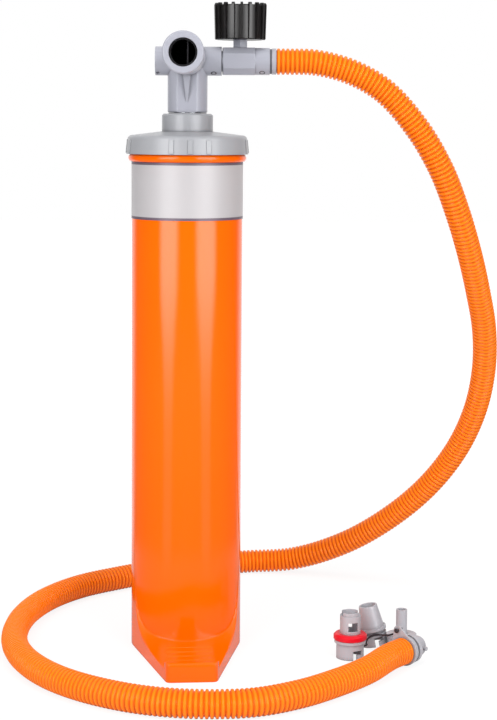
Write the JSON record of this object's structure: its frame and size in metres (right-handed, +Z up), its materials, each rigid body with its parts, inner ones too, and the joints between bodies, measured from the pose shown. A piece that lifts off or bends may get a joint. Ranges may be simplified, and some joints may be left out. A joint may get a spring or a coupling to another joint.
{
  "type": "double-action hand inflation pump",
  "caption": "Hand inflation pump: orange barrel on a foot plate, grey T-handle on a hollow rod, side tee with pressure gauge, ribbed hose and valve adapters.",
  "frame": {"origin": "on the floor, on the axis of the barrel and rod", "axes": "+Z up along the rod, +X towards the delivery port and the hose, the handle's bar along Y"},
  "size_m": [0.495, 0.5077, 0.6189],
  "materials": {
    "orange": "glossy",
    "label": "satin film",
    "grey": "satin",
    "pale_grey": "satin",
    "black_plastic": "satin",
    "bush": "smooth",
    "seal": "matt",
    "red_seal": "satin",
    "rod": "polished",
    "steel": "machined",
    "brass": "drawn",
    "dial": "matt",
    "needle": "matt",
    "lens": "clear",
    "cord": "braided"
  },
  "bodies": {
    "barrel": {"barrel": "orange", "label_sleeve": "label", "cap_gasket": "seal", "cap": "grey", "rod_seal": "seal", "gland_ring": "grey", "rod_wiper": "seal", "top_bumper": "seal"},
    "guide": {"guide_bush": "bush", "hose_floor": "orange", "hose_end": "grey", "end_seal": "seal", "tether_plate": "grey", "tether": "cord", "adapter_bayonet": "grey", "adapter_gasket": "red_seal", "adapter_cone": "grey", "adapter_nozzle": "grey"},
    "handle": {"piston_bottom": "grey", "piston_core": "grey", "piston_top": "grey", "piston_screws": "steel", "piston_seal_lower": "seal", "piston_seal_upper": "seal", "suction_valves_lower": "seal", "suction_valves_upper": "seal", "delivery_valves_lower": "seal", "delivery_valves_upper": "seal", "rod_outer": "rod", "rod_inner": "rod", "hub": "grey", "core_tube_front": "black_plastic", "core_tube_rear": "black_plastic", "grip_front": "grey", "grip_rear": "grey", "tee": "grey", "tee_seal": "seal", "gauge_stem": "steel", "gauge_case": "black_plastic", "gauge_boot": "seal", "gauge_bezel": "black_plastic", "gauge_lens": "lens", "gauge_dial": "dial", "bourdon_tube": "brass", "gauge_movement": "brass", "hose_cuff": "pale_grey", "cuff_seal": "seal", "hose_riser": "orange"},
    "needle": {"gauge_needle": "needle"}
  },
  "joints": [
    {"name": "handle_turn", "type": "hinge", "parent": "barrel", "child": "guide", "pos_m": [0, 0, 0.48], "axis": [0, 0, 1], "range_deg": [-90, 90]},
    {"name": "pump_stroke", "type": "slide", "parent": "guide", "child": "handle", "axis": [0, 0, 1], "range_m": [0, 0.399]},
    {"name": "needle_swing", "type": "hinge", "parent": "handle", "child": "needle", "pos_m": [0.05, 0, 0.607], "axis": [0, 0, 1], "range_deg": [-270, 0], "stiffness_Nm_per_rad": 0.0001}
  ]
}
